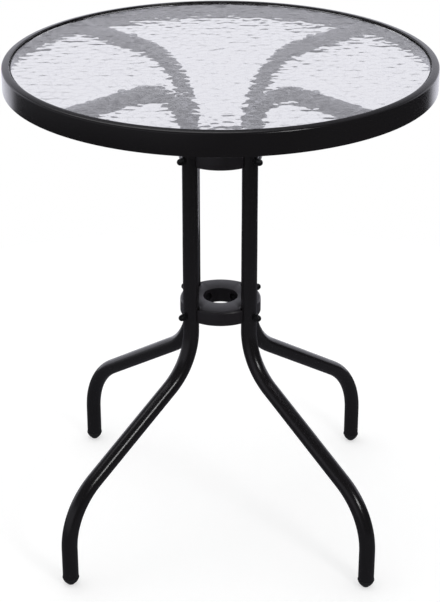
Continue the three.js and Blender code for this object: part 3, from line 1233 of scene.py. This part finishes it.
    def build(self) -> None:
        """Makes the four tubes with their pads and caps."""
        tube, pad, cap = self.tube(), self.pad(), self.cap()
        for corner in Corner:
            self.paint.stand(corner, "tube", "leg", tube, PowderCoat(), self.sharp)
            self.paint.stand(corner, "pad", "glass_pad", pad, PAD_RUBBER)
            self.paint.stand(corner, "foot", "foot_cap", cap, FOOT_PLASTIC)


# The hubs and their bolts


@dataclass
class Hub:
    """A moulded disc with a bore for a pole and a notch for each tube, open underneath."""

    paint: Paintbox
    leg: Leg
    radius: float = 59 * MM
    height: float = 22 * MM
    wall: float = 2.5 * MM
    edge: float = 4 * MM
    bottom_edge: float = 0.8 * MM
    bore: float = 25.25 * MM
    bore_edge: float = 1.2 * MM
    collar: float = 28.25 * MM
    gap: float = 0.3 * MM
    boss_width: float = 14.5 * MM
    boss_foot: float = 0.2 * MM
    rib_width: float = 2 * MM
    rib_foot: float = 1.5 * MM
    head_radius: float = 5.77 * MM
    pocket_depth: float = 4.9 * MM
    pocket_overrun: float = 2 * MM
    pocket_columns: int = 32
    arc_steps: int = 34
    notch_steps: int = 26
    edge_steps: int = 7
    bore_steps: int = 4

    def notch(self, inset: float) -> float:
        """The radius of the notch round a tube, in a line drawn in by an inset."""
        return self.leg.radius + self.gap + inset

    def meeting(self, inset: float) -> float:
        """The angle b from a leg at which a line drawn in by an inset turns from disc to notch.

        A disc of radius D meets a notch of radius n about a tube at distance c where
        cos b = (D² + c² - n²) / (2 c D).

        Args:
            inset: how far the line lies inside the hub's own edge.

        Returns:
            The angle in radians.
        """
        disc, centre = self.radius - inset, self.leg.circle
        return math.acos((disc ** 2 + centre ** 2 - self.notch(inset) ** 2) / (2 * disc * centre))

    def outline(self, inset: float) -> np.ndarray:
        """The hub seen from above, drawn in by an inset: four notches and four arcs of the disc.

        Args:
            inset: how far the line lies inside the hub's own edge.

        Returns:
            Points round the hub, from one end of the first notch.
        """
        disc, centre, meet = self.radius - inset, self.leg.circle, self.meeting(inset)
        swing = math.atan2(disc * math.sin(meet), disc * math.cos(meet) - centre)
        round_tube = np.linspace(TURN - swing, swing, self.notch_steps, endpoint=False)
        saddle = [centre, 0] + self.notch(inset) * compass(round_tube)
        sweep = np.linspace(meet, TURN / 4 - meet, self.arc_steps, endpoint=False)
        lines = []
        for corner in Corner:
            lines += [spun(saddle, corner.angle), disc * compass(sweep + corner.angle)]
        return np.concatenate(lines)

    def circle(self, radius: float) -> np.ndarray:
        """A plain circle, with a point for each one of the outline.

        Args:
            radius: the circle's radius.

        Returns:
            Points round the circle, from one end of the first notch.
        """
        meet = self.meeting(0)
        saddle = np.linspace(-meet, meet, self.notch_steps, endpoint=False)
        sweep = np.linspace(meet, TURN / 4 - meet, self.arc_steps, endpoint=False)
        quarter = np.concatenate([saddle, sweep])
        return radius * compass(np.concatenate([quarter + corner.angle for corner in Corner]))

    def lanes(self) -> list[tuple[np.ndarray, float]]:
        """The closed section of the moulding, as lines round the hub.

        Returns:
            Each line with its height over the hub's underside.
        """
        top, low = self.height, self.bottom_edge
        ceiling = self.height - self.wall
        rounds = [(self.edge * (1 - math.cos(a)), top - self.edge * (1 - math.sin(a)))
                  for a in np.linspace(0, math.pi / 2, self.edge_steps + 1)]
        lips = [(self.bore + self.bore_edge * (1 - math.sin(a)), top - self.bore_edge * (1 - math.cos(a)))
                for a in np.linspace(0, math.pi / 2, self.bore_steps + 1)]
        return [
            (self.outline(self.wall), 0.0),
            (self.outline(low), 0.0),
            (self.outline(0.0), low),
            *[(self.outline(inset), height) for inset, height in rounds],
            *[(self.circle(radius), height) for radius, height in lips],
            (self.circle(self.bore), 0.0),
            (self.circle(self.collar), 0.0),
            (self.circle(self.collar), ceiling),
            (self.outline(self.wall), ceiling),
        ]

    def body(self) -> Shell:
        """The moulding without its bosses and ribs, standing on zero."""
        return ring_shell(np.array([at_height(line, height) for line, height in self.lanes()]))

    def bar(self, width: float, start: float, end: float, low: float) -> Shell:
        """A box that lies along X and stands up into the hub's top wall.

        Args:
            width: its width across Y.
            start: the end nearer the axis.
            end: the further end.
            low: its underside.

        Returns:
            The box.
        """
        outline = np.array([(start, -width / 2), (end, -width / 2), (end, width / 2), (start, width / 2)])
        middle, high = np.array([(start + end) / 2, 0]), self.height - self.wall / 2
        rows = [at_height(outline * size + middle * (1 - size), height)
                for size, height in ((0, low), (1, low), (1, high), (0, high))]
        return capped_shell(np.array(rows))

    def webs(self) -> list[Shell]:
        """The bosses round the bolts, and the ribs midway between them.

        Returns:
            Four bosses and four ribs.
        """
        near = self.collar - self.wall / 2
        saddle = self.leg.circle - self.leg.radius - self.wall / 2
        boss = self.bar(self.boss_width, near, saddle, self.boss_foot)
        rib = self.bar(self.rib_width, near, self.radius - self.wall / 2, self.rib_foot)
        turns = [corner.angle for corner in Corner]
        return [boss.spun(turn) for turn in turns] + [rib.spun(turn + TURN / 8) for turn in turns]

    def pockets(self) -> list[Shell]:
        """The round pockets in the bore that the bolts' heads lie in.

        Returns:
            Four cylinders.
        """
        inner, outer = self.bore - self.pocket_overrun, self.bore + self.pocket_depth
        radius = self.head_radius + self.gap
        profile = np.array([(0, inner), (radius, inner), (radius, outer), (0, outer)])
        pocket = capped_shell(laid(turned(profile, self.pocket_columns)) + [0, 0, self.height / 2])
        return [pocket.spun(corner.angle) for corner in Corner]

    def build(self) -> None:
        """Makes both hubs from one moulding."""
        mould = piece_of("mould", self.body())
        boolean(mould, piece_of("webs", *self.webs()), Operation.JOIN)
        boolean(mould, piece_of("pockets", *self.pockets()), Operation.CUT)
        for level in Level:
            low, _ = edges_of(f"{level.value}_hub")
            mesh = mould.data.copy()
            mesh.transform(Matrix.Translation((0, 0, low[2])))
            self.paint.dress(linked(f"hub_{level.value}", mesh), HUB_PLASTIC, f"{level.value}_hub")
        bpy.data.objects.remove(mould)


@dataclass
class Fasteners:
    """The bolts through hubs and tubes, and the domed cap nuts outside."""

    paint: Paintbox
    hub: Hub
    flats: float = 10 * MM
    head_height: float = 4 * MM
    head_inset: float = 0.6 * MM
    face_share: float = 0.95
    shank: float = 3 * MM
    shank_chamfer: float = 0.6 * MM
    shank_past_tube: float = 6.2 * MM
    chamfer_degrees: float = 28
    chamfer_steps: int = 6
    nut_height: float = 5 * MM
    barrel: float = 1.6 * MM
    dome: float = 4.75 * MM
    thread: float = 3.3 * MM
    thread_depth: float = 6.8 * MM
    thread_chamfer: float = 0.4 * MM
    dome_steps: int = 11
    columns: int = 72

    @property
    def corner(self) -> float:
        """The distance of the hexagon's corners from its middle."""
        return self.flats / 2 / math.cos(TURN / 12)

    @property
    def face(self) -> float:
        """The radius of the flat face of a head or nut, inside its chamfer."""
        return self.flats / 2 * self.face_share

    @property
    def slope(self) -> float:
        """How steeply a chamfer falls outward."""
        return math.tan(math.radians(self.chamfer_degrees))

    def six_sided(self, profile: np.ndarray) -> np.ndarray:
        """A profile turned about Z, but nowhere outside the hexagon h / cos(a mod 60° - 30°).

        Args:
            profile: the points of the profile, as (r, z).

        Returns:
            The grid of points.
        """
        sector = TURN / 6
        hexagon = self.flats / 2 / np.cos(np.mod(around(self.columns), sector) - sector / 2)
        return turned(profile, self.columns, hexagon)

    def bolt(self, start: float, end: float) -> Shell:
        """A bolt along X, its chamfered head towards the table's axis.

        Args:
            start: the distance of its head from the axis.
            end: the distance of its tip.

        Returns:
            The bolt's surface.
        """
        chamfer = np.linspace(self.face, self.corner, self.chamfer_steps + 1)
        seat, neck = start + self.head_height, end - self.shank_chamfer
        profile = np.concatenate([
            [(0, start)],
            np.stack([chamfer, start + (chamfer - self.face) * self.slope], axis=1),
            [(self.corner, seat), (self.shank, seat), (self.shank, neck)],
            [(self.shank - self.shank_chamfer, end), (0, end)],
        ])
        return capped_shell(laid(self.six_sided(profile)))

    def nut(self, seat: float) -> Shell:
        """A cap nut along X from its seat: a chamfered hexagon, a short barrel and a dome.

        Args:
            seat: the distance of its face from the table's axis.

        Returns:
            The nut's surface, with its blind hole.
        """
        chamfer = np.linspace(self.corner, self.dome, self.chamfer_steps + 1)
        dome_at = self.nut_height + self.barrel
        profile = np.concatenate([
            [(0, self.thread_depth), (self.thread, self.thread_depth), (self.thread, self.thread_chamfer)],
            [(self.thread + self.thread_chamfer, 0), (self.face, 0)],
            np.stack([chamfer, self.nut_height - (chamfer - self.dome) * self.slope], axis=1),
            arc((0, dome_at), self.dome, 0, 90, self.dome_steps)[:-1],
            [(0, dome_at + self.dome)],
        ])
        return capped_shell(laid(self.six_sided(profile) + [0, 0, seat]))

    def build(self) -> None:
        """Makes eight bolts and eight nuts at the heights of the two hubs."""
        leg = self.hub.leg
        seat = leg.circle + leg.radius + self.hub.gap
        bolt = self.bolt(self.hub.bore + self.head_inset, seat + self.shank_past_tube)
        nut = self.nut(seat)
        for level in Level:
            for corner in Corner:
                low, high = edges_of(f"{level.value}_bolt_{corner.label}")
                height = (low[2] + high[2]) / 2
                for kind, shell in (("bolt", bolt), ("cap_nut", nut)):
                    name, node = f"{kind}_{level.value}", f"{level.value}_{kind}"
                    self.paint.stand(corner, name, node, shell.moved(z=height), BlackSteel())


# The studio


def put(made: bpy.types.Object, place: Sequence[float], axes: Sequence[np.ndarray]) -> None:
    """Puts a lamp or camera in its place.

    Args:
        made: the lamp's or camera's object.
        place: where it stands.
        axes: the directions of its own X, Y and Z.
    """
    made.matrix_world = Matrix([*zip(*axes, place), (0, 0, 0, 1)])


@dataclass(frozen=True)
class Lamp:
    """A square soft lamp: its place, its width in metres and its power in watts."""

    name: str
    place: Triple
    size: float
    power: float
    target: Triple = (0, 0, 0.45)
    north: Triple = (0, 1, 0.05)

    def hang(self) -> None:
        """Hangs the lamp so that it looks at the table's middle, unseen by rays bent in the glass."""
        data = bpy.data.lights.new(self.name, "AREA")
        data.size, data.energy = self.size, self.power
        made = linked(self.name, data)
        made.visible_transmission = False
        ahead = np.subtract(self.target, self.place)
        ahead /= np.linalg.norm(ahead)
        right = np.cross(ahead, self.north)
        right /= np.linalg.norm(right)
        put(made, self.place, [right, np.cross(right, ahead), -ahead])


@dataclass
class Studio:
    """A plain pale floor, soft light from above, and a camera where the photographer stood.

    The ranges of the mirrored surroundings are given in the parts of a unit direction.
    """

    floor_radius: float = 1.1
    floor_thickness: float = 1 * MM
    floor_columns: int = 96
    floor_albedo: Triple = (0.62, 0.62, 0.62)
    floor_glow: float = 0.5
    floor_mirrored: Triple = (0.10, 0.10, 0.115)
    fill: float = 0.7
    white: Triple = (1.0, 1.0, 1.0)
    mirrored_tint: Triple = (0.87, 0.87, 0.96)
    front_share: float = 0.02
    back_range: Pair = (0.45, 0.58)
    back_tilt: float = 0.7
    back_turn: float = 0.065
    ceiling_range: Pair = (0.32, 0.5)
    ceiling_share: float = 0.15
    left_range: Pair = (-0.1, 0.5)
    left_rise: Pair = (-0.45, 0.15)
    left_share: float = 0.4
    low_range: Pair = (-0.2, 0.0)
    low_gain: float = 0.5
    lamps: tuple[Lamp, ...] = (
        Lamp("soft_overhead", (-0.5, 0.4, 2.3), 1.5, 9),
        Lamp("window_beside_camera", (1.52, -2.09, 1.76), 0.6, 14),
    )
    camera_distance: float = 2.3239
    camera_height: float = 1.4447
    camera_swing: float = 0.898
    camera_heading: float = 0.915
    camera_pitch: float = 25.20
    camera_roll: float = 0.02
    lens: float = 104.87
    sensor: float = 36.0
    clip: Pair = (0.05, 50.0)

    def floor(self) -> None:
        """A pale disc that keeps the table's shadow, shows white to the camera and is dim in mirrors."""
        edge = [(self.floor_radius, -self.floor_thickness), (self.floor_radius, 0)]
        profile = np.array([(0, -self.floor_thickness), *edge, (0, 0)])
        made = piece_of("studio_floor", capped_shell(turned(profile, self.floor_columns)))
        material = bpy.data.materials.new("studio_floor")
        shader = Shader(material)
        seen, mirrored = shader.rays()
        paper = shader.node("ShaderNodeBsdfDiffuse", None, {"Color": opaque(self.floor_albedo)})
        glow = shader.node("ShaderNodeEmission", None, {"Strength": seen * self.floor_glow})
        bright = shader.node("ShaderNodeAddShader", None, {0: paper, 1: glow})
        dim = shader.node("ShaderNodeEmission", None, {"Color": opaque(self.floor_mirrored)})
        shader.finish(shader.mixed(mirrored, bright, dim))
        made.data.materials.append(material)

    def surroundings(self, shader: Shader) -> Value:
        """What glossy surfaces see of the surroundings.

        A bright backdrop, most of all low down, a weaker light from the left, and a dim
        ceiling and front.

        Args:
            shader: the world's tree.

        Returns:
            The brightness in the direction looked at.
        """
        way = shader.node("ShaderNodeTexCoord").outputs["Generated"]
        parts = shader.node("ShaderNodeSeparateXYZ", None, {0: way}).outputs
        x, y, z = (Value(shader, part) for part in parts)
        back = (y + z * self.back_tilt - x * self.back_turn).step(*self.back_range)
        left = (0 - x).step(*self.left_range) * z.step(*self.left_rise) * self.left_share
        ceiling = 1 - z.step(*self.ceiling_range) * (1 - self.ceiling_share)
        low = 1 + (1 - z.step(*self.low_range)) * self.low_gain
        return ((back | left) * ceiling + self.front_share) * low

    def world(self) -> None:
        """White where it is seen, surroundings of their own in mirrors, and else a soft fill."""
        made = bpy.data.worlds.new("studio")
        bpy.context.scene.world = made
        shader = Shader(made)
        seen, mirrored = shader.rays()
        fill = (1 - (seen | mirrored)) * self.fill
        light = shader.node("ShaderNodeBackground", None, {
            "Color": shader.blend(mirrored, self.white, self.mirrored_tint),
            "Strength": seen + mirrored * self.surroundings(shader) + fill,
        })
        shader.finish(light, "ShaderNodeOutputWorld")

    def camera(self) -> None:
        """The camera, from its place and angles, which were fitted to the photograph."""
        data = bpy.data.cameras.new("camera")
        data.sensor_width, data.lens = self.sensor, self.lens
        data.clip_start, data.clip_end = self.clip
        swing, heading = math.radians(self.camera_swing), math.radians(self.camera_heading)
        pitch, roll = math.radians(self.camera_pitch), math.radians(self.camera_roll)
        side, back = self.camera_distance * math.sin(swing), self.camera_distance * math.cos(swing)
        right = np.array([math.cos(heading), math.sin(heading), 0])
        level = np.array([-math.sin(heading), math.cos(heading), 0])
        ahead = level * math.cos(pitch) - np.array([0, 0, math.sin(pitch)])
        up = np.cross(right, ahead)
        rolled_right = right * math.cos(roll) - up * math.sin(roll)
        rolled_up = right * math.sin(roll) + up * math.cos(roll)
        made = linked("camera", data)
        put(made, (side, -back, self.camera_height), [rolled_right, rolled_up, -ahead])
        bpy.context.scene.camera = made

    def build(self) -> None:
        """Sets up floor, world, lamps and camera."""
        bpy.context.scene.view_settings.view_transform = "Standard"
        self.floor()
        self.world()
        for lamp in self.lamps:
            lamp.hang()
        self.camera()
        LOG.info("studio ready")


def main() -> None:
    """Builds the table from the top down, then the studio round it."""
    logging.basicConfig(level=logging.INFO, format="%(name)s: %(message)s")
    paint = Paintbox()
    rim = Rim(paint)
    spigots = Spigots(paint, rim)
    leg = Leg(paint, rim, spigots)
    hub = Hub(paint, leg)
    for part in (rim, spigots, GlassTop(paint, rim), leg, hub, Fasteners(paint, hub), Studio()):
        part.build()


if __name__ == "__main__":
    main()
